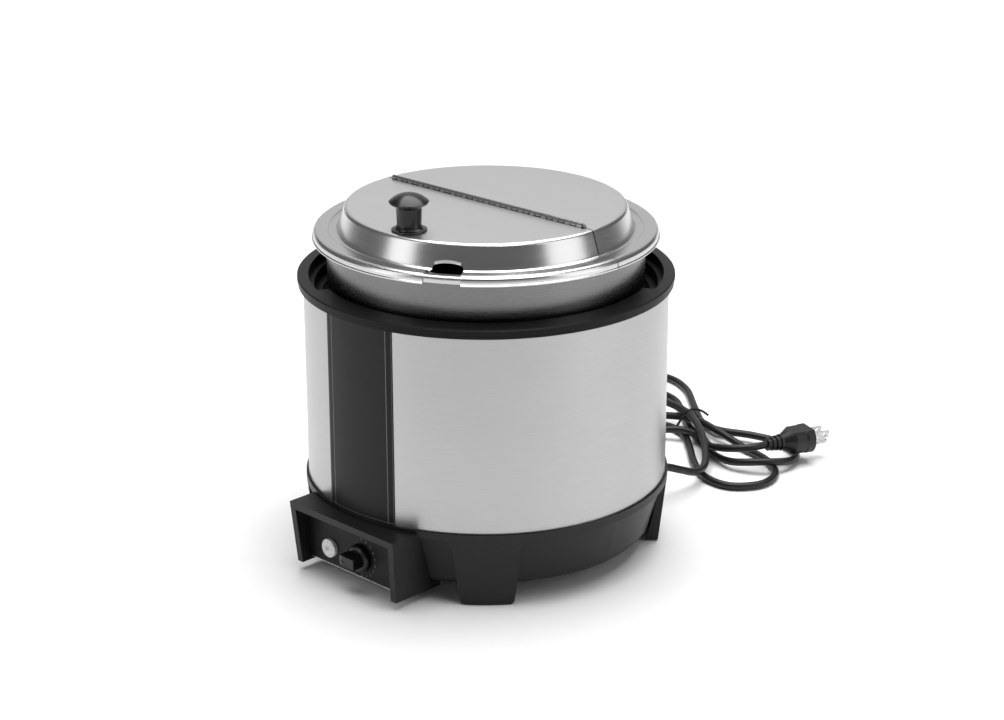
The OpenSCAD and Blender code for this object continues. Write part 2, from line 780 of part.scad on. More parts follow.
// Lid: one pressed sheet cut into two halves along the hinge.
function dome_line() =
    let (turn = 3,
         foot = foot_r + turn * tan((90 - dome_slope) / 2))
    concat([[0, dome_z]],
           arc([dome_top_r, dome_z - dome_round], dome_round, 90, dome_slope),
           arc([foot, ledge_z + turn], turn, 180 + dome_slope, 270, 3),
           [[riser_r - 1.4, ledge_z], [riser_r - 0.2, ledge_z + 0.5], [riser_r, bead_z - 0.6],
            [riser_r + 0.8, bead_z]],
           arc([lip_r - lip_round, bead_z - lip_round], lip_round, 90, 0),
           [[lip_r, lip_low + 1.6], [lip_r + lip_flare, lip_low + 0.9], [lip_r + lip_flare, lip_low]]);

module lid_shell() rotate_extrude() polygon(sheet(dome_line(), lid_t));

module half_space(s) {
    seam = 0.55;
    box([-200, s > 0 ? seam : -200, lip_low - 10], [200, s > 0 ? 200 : -seam, dome_z + 20]);
}

module hinge_space() box([-knuckle_half - 1, -hinge_slot, dome_z - 3], [knuckle_half + 1, hinge_slot, dome_z + 5]);

module notch() {
    corner = 3;
    inner = notch_in - foot_r;
    low = lip_low - 5;
    at_az(notch_az) {
        difference() {
            translate([0, 0, low]) linear_extrude(ledge_z + 12 - low)
                polygon([[-notch_w / 2, inner], [notch_w / 2, inner],
                         [notch_w / 2 + 3, -lip_r - 4], [-notch_w / 2 - 3, -lip_r - 4]]);
            for (s = [-1, 1]) translate([s * notch_w / 2, inner, low - 1])
                difference() {
                    box([-corner, -corner, 0], [corner, corner, 40]);
                    translate([-s * corner, -corner, -1]) cylinder(r = corner, h = 42);
                }
        }
    }
}

module lid_rear_half() {
    color(steel) at_az(lid_turn) difference() {
        intersection() {
            lid_shell();
            half_space(1);
        }
        hinge_space();
    }
}

module lid_front_half() {
    color(steel) at_az(lid_turn) difference() {
        intersection() {
            lid_shell();
            half_space(-1);
        }
        hinge_space();
        notch();
        at_az(knob_az) translate([0, -knob_at, dome_z - 5]) cylinder(r = 2.2, h = 10);
    }
}

// A hinge leaf lies under the sheet, and its own knuckles come up through the slot.
module hinge_leaf(s, first) {
    leaf_top = dome_z - lid_t;
    knuckle_l = knuckle_pitch - knuckle_gap;
    edge = barrel_r + 0.4;
    box([-knuckle_half, s > 0 ? edge : -edge - leaf_w, leaf_top - leaf_t],
        [knuckle_half - part_gap, s > 0 ? edge + leaf_w : -edge, leaf_top]);
    for (i = [first:2:knuckle_n - 1]) translate([-knuckle_half + i * knuckle_pitch, 0, 0])
        difference() {
            union() {
                translate([0, 0, hinge_z]) rotate([0, 90, 0]) cylinder(r = barrel_r, h = knuckle_l, $fn = 32);
                box([0, s > 0 ? barrel_r - leaf_t : -edge - 0.5, leaf_top - leaf_t],
                    [knuckle_l, s > 0 ? edge + 0.5 : -barrel_r + leaf_t, leaf_top]);
                box([0, s > 0 ? barrel_r - leaf_t : -barrel_r, leaf_top - leaf_t],
                    [knuckle_l, s > 0 ? barrel_r : -barrel_r + leaf_t, hinge_z]);
            }
            translate([-1, 0, hinge_z]) rotate([0, 90, 0])
                cylinder(r = hinge_pin_r + run_gap, h = knuckle_pitch + 2, $fn = 24);
        }
}

module hinge_leaf_rear() color(steel) at_az(lid_turn) hinge_leaf(1, 0);
module hinge_leaf_front() color(steel) at_az(lid_turn) hinge_leaf(-1, 1);

module hinge_pin() {
    head = 0.6;
    color(dark_steel) at_az(lid_turn) translate([-knuckle_half - head, 0, hinge_z]) rotate([0, 90, 0]) {
        cylinder(r = hinge_pin_r, h = 2 * knuckle_half + 2 * head, $fn = 24);
        cylinder(r = barrel_r - 0.6, h = head, $fn = 24);
        translate([0, 0, 2 * knuckle_half + head]) cylinder(r = barrel_r - 0.6, h = head, $fn = 24);
    }
}

module at_knob() at_az(lid_turn + knob_az) translate([0, -knob_at, dome_z]) children();

module lid_knob() {
    cap_z = knob_h * 0.78;
    rim = 1.2;
    flare = 4.5;
    dome = (knob_cap_r * knob_cap_r + pow(knob_h - cap_z, 2)) / (2 * (knob_h - cap_z));
    line = concat([[0, 0], [knob_foot_r - 0.4, 0], [knob_foot_r, 0.4], [knob_foot_r, rim]],
                  arc([knob_waist_r + flare, rim + 0.2 + flare], flare, -92, -180, 6),
                  [[knob_waist_r + 0.5, cap_z - 5.2], [knob_waist_r + 2.4, cap_z - 3.6],
                   [knob_cap_r - 0.8, cap_z - 1.6], [knob_cap_r, cap_z]],
                  arc([0, knob_h - dome], dome, asin((cap_z - knob_h + dome) / dome), 90, 8));
    color("#1d1d1f") at_knob() difference() {
        rotate_extrude() polygon(line);
        translate([0, 0, -1]) cylinder(r = 2.05, h = 17);
    }
}

module lid_knob_screw() {
    color(steel) at_knob() translate([0, 0, -lid_t - 1]) {
        translate([0, 0, -1.8]) cylinder(r1 = 2.8, r2 = 4, h = 1.8);
        cylinder(r = 2, h = lid_t + 14);
    }
}

module lid_knob_washer() {
    color(steel) at_knob() ring(2.1, 6, -lid_t - 1, -lid_t);
}

// Mains lead: ribbed sleeve in the base wall, lead, plug and tie.
module relief_outline() {
    ribs = 4;
    pitch = (relief_len - 4) / ribs;
    taper = (relief_r - 1 - lead_d / 2) / ribs;
    polygon(concat([[0, 4], [relief_r, 4], [relief_r, 0], [relief_r + 2.5, 0],
                    [relief_r + 2.5, -3], [relief_r - 0.5, -3]],
                   [for (i = [0:ribs - 1], k = [0:3])
                       [relief_r - 0.5 - taper * i - (k == 1 || k == 2 ? 1.2 : 0),
                        -3 - pitch * (i + [0.45, 0.5, 0.9, 0.95][k])]],
                   [[lead_d / 2 + 0.6, -relief_len], [0, -relief_len]]));
}

module strain_relief() {
    color(black) difference() {
        at_az(lead_az) translate([0, -relief_at, relief_z]) rotate([-90, 0, 0])
            rotate_extrude() relief_outline();
        difference() {
            bowl_envelope(0);
            at_az(lead_az) translate([0, -200, relief_z]) rotate([-90, 0, 0])
                cylinder(r = relief_r, h = 100);
        }
    }
}

// Half way along a span, on the smooth curve through the four points around it.
function half_way(p, i) =
    let (n = len(p) - 1,
         before = i > 0 ? p[i - 1] : 2 * p[0] - p[1],
         after = i < n - 1 ? p[i + 2] : 2 * p[n] - p[n - 1])
    (9 * (p[i] + p[i + 1]) - before - after) / 16;
function smooth(p) =
    [for (i = [0:len(p) - 1])
        each i < len(p) - 1 && norm(p[i + 1] - p[i]) > long_span ? [p[i], half_way(p, i)] : [p[i]]];

module tube(p, r, sides = 8) {
    n = len(p);
    rings = [for (i = [0:n - 1])
        let (t = unit(p[min(i + 1, n - 1)] - p[max(i - 1, 0)]),
             u = unit(cross([0, 0, 1], t)), v = cross(t, u))
        for (k = [0:sides - 1]) let (a = 360 * k / sides) p[i] + r * (cos(a) * u + sin(a) * v)];
    walls = [for (i = [0:n - 2], k = [0:sides - 1]) let (a = i * sides, b = (k + 1) % sides)
        each [[a + k, a + sides + k, a + b], [a + b, a + sides + k, a + sides + b]]];
    polyhedron(rings, concat(walls, [[for (k = [0:sides - 1]) k]],
                             [[for (k = [sides - 1:-1:0]) (n - 1) * sides + k]]));
}

module at_lead() at_az(lead_az) translate([0, -lead_shift, lead_lift]) at_az(-route_az) children();

module power_cord() color("#1a1a1c") at_lead() tube(smooth(route), lead_d / 2);

// The plug lies along the lead's last span.
module at_plug() {
    last = len(route) - 1;
    run = route[last] - route[last - 1];
    at_lead() translate(route[last])
        rotate([0, 90 - asin(run.z / norm(run)), atan2(run.y, run.x)]) children();
}

module plug_body() {
    pitch = plug_neck / 4;
    grip_z = plug_neck - 4;
    color("#1a1a1c") at_plug() {
        rotate_extrude() polygon(concat([[0, 0]],
            [for (i = [0:3], k = [0:3]) [lead_d / 2 + 1.5 + 0.6 * i + (k < 2 ? 0.9 : 0),
                                         pitch * (i + [0, 0.55, 0.6, 0.98][k])]],
            [[0, plug_neck]]));
        intersection() {
            rotate_extrude() polygon([[0, grip_z], [6, grip_z], [8.5, grip_z + 4], [13.5, grip_z + 12],
                                      [13.5, plug_l - 9], [14.2, plug_l - 7], [14.2, plug_l], [0, plug_l]]);
            box([-10.5, -14, 0], [11.5, 14, plug_l]);
        }
    }
}

module plug_blades() {
    blade_l = 17.5;
    color(steel) at_plug() translate([0, 0, plug_l]) {
        for (y = [-6.35, 6.35]) difference() {
            box([-6, y - 0.75, 0], [0.4, y + 0.75, blade_l]);
            translate([-2.8, y - 2, blade_l - 5]) rotate([-90, 0, 0]) cylinder(r = 1.6, h = 4);
        }
        translate([6.5, 0, 0]) cylinder(r = 2.4, h = blade_l);
        translate([6.5, 0, blade_l]) sphere(r = 2.4);
    }
}

// Flat wire tie round four strands of the lead, with its twisted end on top.
module cord_tie() {
    wire_t = 0.4;
    band = 3;
    left = -12.7 - lead_d / 2;
    right = 9.7 + lead_d / 2;
    low = -lead_lift;
    high = 21.3 + lead_d / 2;
    corner = 2.4;
    color("#1a1a1c") at_lead() translate([tie_at.x, tie_at.y, 0]) rotate([0, 0, tie_turn]) {
        rotate([90, 0, 0]) translate([0, 0, -band / 2]) linear_extrude(band) difference() {
            tie_outline(left, right, low, high, corner);
            tie_outline(left + wire_t, right - wire_t, low + wire_t, high - wire_t, corner - wire_t);
        }
        translate([0, 0, high - 0.2]) rotate([0, 35, 0]) cylinder(r = 0.9, h = 11);
    }
}

module tie_outline(x0, x1, z0, z1, r) {
    polygon(concat(arc([x1 - r, z1 - r], r, 0, 90), arc([x0 + r, z1 - r], r, 90, 180),
                   arc([x0 + r, z0 + r], r, 180, 270), arc([x1 - r, z0 + r], r, 270, 360)));
}

base();
foot_pads();
bottom_cover();
bottom_screws();
outer_shell();
seam_strip();
front_strip();
tie_rods();
rod_nuts();
collar();
well_gasket();
well();
inset_supports();
insulation();
heater_plate();
heater_tube();
heater_clamp();
heater_nuts();
high_limit();
sensor_bulb();
sensor_capillary();
terminal_block();
wiring();
ground_stud();
control_hood();
hood_screws();
control_panel();
thermostat_body();
thermostat_nut();
thermostat_shaft();
thermostat_knob();
indicator_lens();
indicator_body();
inset_pot();
inset_rim();
lid_rear_half();
lid_front_half();
hinge_leaf_rear();
hinge_leaf_front();
hinge_pin();
lid_knob();
lid_knob_screw();
lid_knob_washer();
strain_relief();
power_cord();
plug_body();
plug_blades();
cord_tie();
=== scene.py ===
import json
import math
import bpy
import numpy as np
from mathutils import Matrix, Vector


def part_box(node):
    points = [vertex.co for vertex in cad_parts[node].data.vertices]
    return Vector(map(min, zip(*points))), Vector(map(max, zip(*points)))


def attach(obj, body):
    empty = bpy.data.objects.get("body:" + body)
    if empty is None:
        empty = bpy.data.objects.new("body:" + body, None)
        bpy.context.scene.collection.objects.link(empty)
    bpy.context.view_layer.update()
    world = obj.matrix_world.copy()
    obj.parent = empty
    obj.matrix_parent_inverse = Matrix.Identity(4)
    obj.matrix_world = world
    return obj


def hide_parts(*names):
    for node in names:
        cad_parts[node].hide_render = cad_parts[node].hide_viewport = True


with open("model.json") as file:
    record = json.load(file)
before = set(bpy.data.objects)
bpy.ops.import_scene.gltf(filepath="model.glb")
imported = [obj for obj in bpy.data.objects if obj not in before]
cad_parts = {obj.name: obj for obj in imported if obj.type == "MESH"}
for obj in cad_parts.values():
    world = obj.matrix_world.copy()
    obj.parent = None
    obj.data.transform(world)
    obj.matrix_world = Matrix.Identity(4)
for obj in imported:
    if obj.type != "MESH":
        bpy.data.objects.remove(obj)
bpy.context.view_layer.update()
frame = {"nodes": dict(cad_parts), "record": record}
print("frame loaded:", len(frame["nodes"]), "nodes")


# camera: a place, the point it looks at, and a lens
view = {
    "azimuth": 44.8,          # degrees from the front towards the right
    "tilt": 19.954,           # degrees down
    "distance": 2.1074,
    "target": (0.0093, 0.0092, 0.1588),
    "roll": -0.135,
    "lens": 89.10,
}


def makeCamera():
    camera = bpy.data.objects.new("camera", bpy.data.cameras.new("camera"))
    bpy.context.collection.objects.link(camera)
    around, down = math.radians(view["azimuth"]), math.radians(view["tilt"])
    back = Vector((math.sin(around) * math.cos(down), -math.cos(around) * math.cos(down), math.sin(down)))
    camera.location = Vector(view["target"]) + view["distance"] * back
    turn = Matrix.Rotation(math.radians(view["roll"]), 3, "Z")
    camera.rotation_euler = (back.to_track_quat("Z", "Y").to_matrix() @ turn).to_euler()
    camera.data.lens = view["lens"]
    camera.data.sensor_width = 36
    camera.data.clip_end = 30
    bpy.context.scene.camera = camera


# one wrapped socket: expressions on it add Math nodes
class Wire:
    def __init__(self, graph, socket):
        self.graph = graph
        self.socket = socket

    def math(self, operation, first, second):
        return self.graph.add("ShaderNodeMath", {"operation": operation}, {0: first, 1: second})

    def __add__(self, other):
        return self.math("ADD", self, other)

    def __radd__(self, other):
        return self.math("ADD", other, self)

    def __sub__(self, other):
        return self.math("SUBTRACT", self, other)

    def __rsub__(self, other):
        return self.math("SUBTRACT", other, self)

    def __mul__(self, other):
        return self.math("MULTIPLY", self, other)

    def __rmul__(self, other):
        return self.math("MULTIPLY", other, self)

    def __truediv__(self, other):
        return self.math("DIVIDE", self, other)

    def __rtruediv__(self, other):
        return self.math("DIVIDE", other, self)

    def out(self, name):
        return Wire(self.graph, self.socket.node.outputs[name])


# one material: every node in it comes from add()
class Graph:
    def __init__(self, name):
        self.material = bpy.data.materials.new(name)
        self.material.use_nodes = True
        self.tree = self.material.node_tree
        self.tree.nodes.clear()
        self.place = self.add("ShaderNodeTexCoord").out("Object")

    def add(self, kind, settings=None, sockets=None):
        node = self.tree.nodes.new(kind)
        for key, value in (settings or {}).items():
            if key == "stops":
                ramp = node.color_ramp
                while len(ramp.elements) < len(value):
                    ramp.elements.new(0.5)
                for element, (position, grey) in zip(ramp.elements, value):
                    element.position = position
                    element.color = (grey, grey, grey, 1)
            else:
                setattr(node, key, value)
        for key, value in (sockets or {}).items():
            if isinstance(value, Wire):
                self.tree.links.new(value.socket, node.inputs[key])
            else:
                node.inputs[key].default_value = value
        return Wire(self, node.outputs[0]) if len(node.outputs) else None

    def apart(self, vector):
        split = self.add("ShaderNodeSeparateXYZ", {}, {0: vector})
        return split.out("X"), split.out("Y"), split.out("Z")

    def join(self, x, y, z):
        return self.add("ShaderNodeCombineXYZ", {}, {0: x, 1: y, 2: z})

    def stretch(self, x, y, z, source=None):
        return self.add("ShaderNodeVectorMath", {"operation": "MULTIPLY"},
                        {0: source or self.place, 1: (x, y, z)})

    def noise(self, vector, scale=1.0, detail=2.0, rough=0.5):
        return self.add("ShaderNodeTexNoise", {}, {"Vector": vector, "Scale": scale, "Detail": detail,
                                                   "Roughness": rough})

    def fit(self, value, low, high, toLow=0.0, toHigh=1.0):
        return self.add("ShaderNodeMapRange", {"interpolation_type": "SMOOTHSTEP"},
                        {"Value": value, "From Min": low, "From Max": high,
                         "To Min": toLow, "To Max": toHigh})

    def absolute(self, value):
        return self.add("ShaderNodeMath", {"operation": "ABSOLUTE"}, {0: value})

    def distance(self, first, second):
        return self.add("ShaderNodeMath", {"operation": "SQRT"}, {0: first * first + second * second})

    def mix(self, factor, first, second):
        blend = self.add("ShaderNodeMix", {"data_type": "RGBA"}, {0: factor, 6: first, 7: second})
        return Wire(self, blend.socket.node.outputs[2])

    def bump(self, height, distance, strength=1.0):
        return self.add("ShaderNodeBump", {}, {"Height": height, "Distance": distance,
                                               "Strength": strength})

    def finish(self, sockets):
        shader = self.add("ShaderNodeBsdfPrincipled", {}, sockets)
        self.add("ShaderNodeOutputMaterial", {}, {"Surface": shader})
        return self.material


def grey(level, warmth=0.0):
    return (level * (1 + warmth), level, level * (1 - warmth), 1)


# steel, brushed along lines that the streak direction leaves long
steelLooks = {
    "shell": {"level": 0.44, "rough": 0.33, "streak": (42, 42, 1250), "depth": 0.00003, "patch": 0.05},
    # inset: its level sits far below the rim's though both are one steel; the difference is painted shade
    # on the inset wall
    "inset": {"level": 0.2, "rough": 0.27, "streak": (30, 30, 1300), "depth": 0.00002, "patch": 0.08},
    "rim": {"level": 0.62, "rough": 0.2, "streak": (30, 30, 1300), "depth": 0.00001, "patch": 0.05},
    "well": {"level": 0.5, "rough": 0.3, "streak": (16, 16, 1600), "depth": 0.00001, "patch": 0.05},
    "hinge": {"level": 0.6, "rough": 0.16, "streak": (300, 300, 300), "depth": 0.000002, "patch": 0.05},
    "plated": {"level": 0.55, "rough": 0.3, "streak": (500, 500, 500), "depth": 0.000003, "patch": 0.08},
}


def brushedSteel(name, look):
    # streaks: noise on a stretched place, bright and rough together; patches: slow noise
    graph = Graph(name)
    streak = graph.noise(graph.stretch(*look["streak"]), 1.0, 3.0, 0.62)
    patch = graph.noise(graph.place, 9.0, 2.0)
    tone = look["level"] * (0.9 + 0.2 * streak) * (1 - look["patch"] + 2 * look["patch"] * patch)
    colour = graph.mix(tone, grey(0.0), grey(1.0, 0.004))
    return graph.finish({
        "Base Color": colour,
        "Metallic": 1.0,
        "Roughness": look["rough"] * (0.82 + 0.36 * streak),
        "Normal": graph.bump(streak, look["depth"]),
    })


lidLook = {"level": 0.62, "satin": 0.34, "polished": 0.23, "topWidth": 0.116, "depth": 0.000012}


def lidSteel(name):
    # the flat top is brushed in long straight strokes; the dome's side, ledge and lip are polished
    graph = Graph(name)
    x, y, z = graph.apart(graph.place)
    radius = graph.distance(x, y)
    top = graph.fit(radius, lidLook["topWidth"] + 0.0015, lidLook["topWidth"] - 0.0015)
    strokes = graph.noise(graph.stretch(9, 1500, 9), 1.0, 3.0, 0.6)
    rings = graph.noise(graph.join(radius * 2600, x * 10, y * 10), 1.0, 2.0, 0.6)
    grain = strokes * top + rings * (1 - top)
    tone = lidLook["level"] * (0.93 + 0.14 * grain)
    rough = lidLook["satin"] * top + lidLook["polished"] * (1 - top)
    return graph.finish({
        "Base Color": graph.mix(tone, grey(0.0), grey(1.0, 0.004)),
        "Metallic": 1.0,
        "Roughness": rough * (0.85 + 0.3 * grain),
        "Normal": graph.bump(grain * (0.25 + 0.75 * top), lidLook["depth"]),
    })


# moulded and coated finishes: grain size in cells a metre, depth in metres
mouldedLooks = {
    "black_moulding": {"level": 0.007, "rough": 0.42, "grain": 2600, "depth": 0.00003, "shine": 0.3},
    "black_collar": {"level": 0.005, "rough": 0.4, "grain": 2200, "depth": 0.00004, "shine": 0.14},
    "black_knob": {"level": 0.003, "rough": 0.3, "grain": 500, "depth": 0.00001, "shine": 0.35,
                   "coat": 0.15},
    "rubber": {"level": 0.02, "rough": 0.75, "grain": 3000, "depth": 0.00004, "shine": 0.3},
    "ceramic": {"level": 0.62, "rough": 0.45, "grain": 900, "depth": 0.00002, "shine": 0.5, "coat": 0.2},
    "cord_black": {"level": 0.004, "rough": 0.4, "grain": 1500, "depth": 0.00002, "shine": 0.4},
}


def moulded(name, look, tint=None):
    graph = Graph(name)
    grain = graph.noise(graph.place, look["grain"], 3.0, 0.6)
    cloud = graph.noise(graph.place, 24.0, 3.0)
    tone = 0.82 + 0.36 * cloud
    dark = tint or grey(look["level"])
    light = tuple(min(1, 1.35 * c + 0.004) for c in dark[:3]) + (1,)
    return graph.finish({
        "Base Color": graph.mix(cloud * 0.6 + grain * 0.3, dark, light),
        "Roughness": look["rough"] * (tone * 0.6 + 0.4 * (0.8 + 0.4 * grain)),
        "Normal": graph.bump(grain, look["depth"]),
        "Coat Weight": look.get("coat", 0.0),
        "Coat Roughness": 0.12,
        "Specular IOR Level": look["shine"],
    })


def metalTint(name, tint, rough, grain):
    graph = Graph(name)
    scuff = graph.noise(graph.place, grain, 4.0, 0.65)
    dull = tuple(0.6 * c for c in tint[:3]) + (1,)
    return graph.finish({
        "Base Color": graph.mix(graph.fit(scuff, 0.35, 0.7), tint, dull),
        "Metallic": 0.95,
        "Roughness": rough * (0.7 + 0.6 * scuff),
        "Normal": graph.bump(scuff, 0.00001),
    })


def blanket(name):
    # glass-fibre blanket: tangled fine fibres over soft lumps
    graph = Graph(name)
    fibre = graph.noise(graph.stretch(900, 900, 260), 1.0, 5.0, 0.7)
    lump = graph.noise(graph.place, 60.0, 2.0)
    return graph.finish({
        "Base Color": graph.mix(fibre, (0.62, 0.55, 0.34, 1), (0.88, 0.84, 0.7, 1)),
        "Roughness": 0.9,
        "Normal": graph.bump(fibre * 0.4 + lump, 0.0006),
    })


def lensFinish(name):
    # milky moulded lens with fine rings under its face
    graph = Graph(name)
    low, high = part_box("indicator_lens")
    x, y, z = graph.apart(graph.place)
    across = x - (low.x + high.x) / 2
    along = z - (low.z + high.z) / 2
    radius = graph.distance(across, along)
    rings = graph.add("ShaderNodeMath", {"operation": "SINE"}, {0: radius * 9000})
    heart = graph.fit(radius, 0.0032, 0.0012)
    cloud = graph.noise(graph.place, 420.0, 3.0)
    tone = graph.fit(cloud + heart * 0.35, 0.35, 1.0)
    return graph.finish({
        "Base Color": graph.mix(tone, (0.86, 0.86, 0.85, 1), (0.42, 0.42, 0.43, 1)),
        "Roughness": 0.16 + 0.1 * cloud,
        "Normal": graph.bump(rings * (1 - heart), 0.00005),
        "Coat Weight": 0.6,
        "Coat Roughness": 0.05,
        "Subsurface Weight": 0.15,
        "Subsurface Radius": (0.004, 0.004, 0.004),
        "Subsurface Scale": 1.0,
    })


# the printed strip: charcoal film, two inner hairlines, a border hairline and darker side bands
stripLook = {
    "turn": 2.0, "half": 14.0, "inner": 11.6, "hair": 0.16, "edge": 0.35, "margin": 0.0012,
    "marginHair": 0.0004, "film": 0.013, "band": 0.006, "line": 0.16, "shine": 0.2,
}


def stripFilm(name):
    graph = Graph(name)
    x, y, z = graph.apart(graph.place)
    turn = math.radians(stripLook["turn"])
    side = x * math.cos(turn) + y * math.sin(turn)
    ahead = y * -math.cos(turn) + x * math.sin(turn)
    angle = graph.add("ShaderNodeMath", {"operation": "ARCTAN2"}, {0: side, 1: ahead}) * (180 / math.pi)
    reach = graph.absolute(angle)
    offInner = graph.absolute(reach - stripLook["inner"])
    offEdge = graph.absolute(reach - (stripLook["half"] - stripLook["edge"]))
    hair = stripLook["hair"]
    line = graph.fit(offInner, hair, hair * 0.6) + 0.5 * graph.fit(offEdge, hair, hair * 0.6)
    low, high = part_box("front_strip")
    middle, halfHigh = (low.z + high.z) / 2, (high.z - low.z) / 2 - stripLook["margin"]
    offMargin = graph.absolute(graph.absolute(z - middle) - halfHigh)
    line = line + 0.8 * graph.fit(offMargin, stripLook["marginHair"], stripLook["marginHair"] * 0.5)
    band = graph.fit(reach, stripLook["inner"] - 0.05, stripLook["inner"] + 0.05)
    speck = graph.noise(graph.place, 1800.0, 2.0)
    film = graph.mix(band, grey(stripLook["film"]), grey(stripLook["band"]))
    return graph.finish({
        "Base Color": graph.mix(line, film, grey(stripLook["line"])),
        "Specular IOR Level": stripLook["shine"],
        "Roughness": 0.36 + 0.12 * speck,
        "Normal": graph.bump(speck, 0.00001),
    })


# the control panel: charcoal film with the bare metal showing along its lower edge
panelLook = {"film": 0.008, "shine": 0.2, "print": 0.16, "bareHigh": 0.0006, "bare": 0.7}


def panelFilm(name):
    graph = Graph(name)
    x, y, z = graph.apart(graph.place)
    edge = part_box("control_panel")[0].z + panelLook["bareHigh"]
    bare = graph.fit(z, edge + 0.0001, edge - 0.0001)
    speck = graph.noise(graph.place, 1600.0, 3.0)
    rub = graph.noise(graph.stretch(30, 30, 90), 1.0, 3.0)
    film = graph.mix(speck * 0.5 + rub * 0.3, grey(panelLook["film"]), grey(panelLook["film"] * 1.5))
    return graph.finish({
        "Base Color": graph.mix(bare, film, grey(panelLook["bare"])),
        "Metallic": bare,
        "Specular IOR Level": panelLook["shine"],
        "Roughness": 0.4 + 0.14 * rub,
        "Normal": graph.bump(speck, 0.000015),
    })


def plainPrint(name):
    graph = Graph(name)
    wear = graph.noise(graph.place, 2500.0, 2.0)
    return graph.finish({
        "Base Color": graph.mix(wear, grey(panelLook["print"]), grey(panelLook["print"] * 1.5)),
        "Roughness": 0.5,
    })


# the floor glows softly beyond the kettle, so that it stays pale up to the horizon
floorLook = {"level": 0.9, "size": 9.0, "glowFrom": 1.1, "glowTo": 2.8, "glow": 0.75}


def paleFloor():
    graph = Graph("floor")
    grain = graph.noise(graph.place, 40.0, 2.0)
    x, y, z = graph.apart(graph.place)
    away = graph.distance(x, y)
    far = graph.fit(away, floorLook["glowFrom"], floorLook["glowTo"], 0.0, floorLook["glow"])
    return graph.finish({
        "Base Color": graph.mix(grain, grey(floorLook["level"]), grey(floorLook["level"] + 0.02)),
        "Roughness": 0.6,
        "Specular IOR Level": 0.2,
        "Emission Color": graph.mix(far, grey(0.0), grey(1.0)),
        "Emission Strength": 1.0,
    })


makeCamera()
print("camera placed")
finishes = {
    "brushed_shell": brushedSteel("brushed_shell", steelLooks["shell"]),
    "inset_steel": brushedSteel("inset_steel", steelLooks["inset"]),
    "well_steel": brushedSteel("well_steel", steelLooks["well"]),
    "hinge_steel": brushedSteel("hinge_steel", steelLooks["hinge"]),
    "plated_steel": brushedSteel("plated_steel", steelLooks["plated"]),
    "lid_steel": lidSteel("lid_steel"),
    "aluminium": metalTint("aluminium", grey(0.62), 0.5, 220.0),
    "heater_sheath": metalTint("heater_sheath", (0.13, 0.12, 0.11, 1), 0.6, 300.0),
    "copper": metalTint("copper", (0.72, 0.38, 0.2, 1), 0.35, 180.0),
    "blade_metal": metalTint("blade_metal", grey(0.58), 0.28, 260.0),
    "wire": moulded("wire", mouldedLooks["ceramic"], (0.3, 0.02, 0.02, 1)),
    "insulation": blanket("insulation"),
    "lens": lensFinish("lens"),
    "graphic_film": panelFilm("graphic_film"),
}
finishes.update({slot: moulded(slot, look) for slot, look in mouldedLooks.items()})
ownFinish = {
    "front_strip": stripFilm("strip_film"),
    "inset_rim": brushedSteel("inset_rim", steelLooks["rim"]),
}
printFinish = plainPrint("panel_print")
slotOf = {part["node"]: part["material_slot"] for part in frame["record"]["subparts"]}
for name, node in frame["nodes"].items():
    node.data.materials.clear()
    node.data.materials.append(ownFinish.get(name) or finishes[slotOf[name]])
print("finishes made:", len(finishes) + len(ownFinish) + 1)


# a grid of points (rows x columns x 3) becomes a mesh; closed wraps its columns round
def gridMesh(name, grid, closed=True, caps=True):
    rows, columns = grid.shape[:2]
    points = grid.reshape(-1, 3)
    last = columns if closed else columns - 1
    row, column = np.meshgrid(np.arange(rows - 1), np.arange(last), indexing="ij")
    beside = (column + 1) % columns
    faces = np.stack([row * columns + column, row * columns + beside,
                      (row + 1) * columns + beside, (row + 1) * columns + column], -1).reshape(-1, 4)
    sides = [list(f) for f in faces.tolist()]
    if closed and caps:
        sides.append(list(range(columns))[::-1])
        sides.append([(rows - 1) * columns + i for i in range(columns)])
    return [points, sides]


def joined(parts):
    # many point-and-face lists become one
    points, faces, start = [], [], 0
    for somePoints, someFaces in parts:
        points.append(somePoints)
        faces += [[start + i for i in face] for face in someFaces]
        start += len(somePoints)
    return [np.concatenate(points), faces]


def makePiece(name, shape, material, smooth=True, crease=40):
    points, faces = shape
    mesh = bpy.data.meshes.new(name)
    mesh.from_pydata(points.tolist(), [], faces)
    mesh.validate()
    mesh.polygons.foreach_set("use_smooth", np.full(len(mesh.polygons), smooth))
    if smooth:
        mesh.set_sharp_from_angle(angle=math.radians(crease))
    mesh.update()
    piece = bpy.data.objects.new(name, mesh)
    bpy.context.collection.objects.link(piece)
    piece.data.materials.append(material)
    return piece


def smoothPath(points, steps):
    # Catmull-Rom: each span is a cubic through its two points, with the neighbours setting its slopes
    points = np.asarray(points, float)
    ends = np.vstack([2 * points[0] - points[1], points, 2 * points[-1] - points[-2]])
    t = np.linspace(0, 1, steps, endpoint=False)[None, :, None]
    a, b, c, d = (ends[i:len(ends) - 3 + i, None, :] for i in range(4))
    line = 0.5 * (2 * b + (c - a) * t + (2 * a - 5 * b + 4 * c - d) * t ** 2
                  + (3 * b - a - 3 * c + d) * t ** 3)
    return np.vstack([line.reshape(-1, 3), points[-1:]])


def pathFrames(line):
    # at each point: the way along, and two directions across, kept level
    along = np.gradient(line, axis=0)
    along /= np.linalg.norm(along, axis=1)[:, None]
    side = np.cross(np.array([0.0, 0.0, 1.0]), along)
    side /= np.linalg.norm(side, axis=1)[:, None]
    return along, side, np.cross(along, side)


def tubeGrid(line, radius, sides):
    # a circle of the given radius (a number, or one for each point) carried along a line
    along, side, up = pathFrames(line)
    turn = np.linspace(0, 2 * np.pi, sides, endpoint=False)
    radius = np.broadcast_to(radius, len(line))[:, None, None]
    return line[:, None, :] + radius * (np.cos(turn)[None, :, None] * side[:, None, :]
                                        + np.sin(turn)[None, :, None] * up[:, None, :])
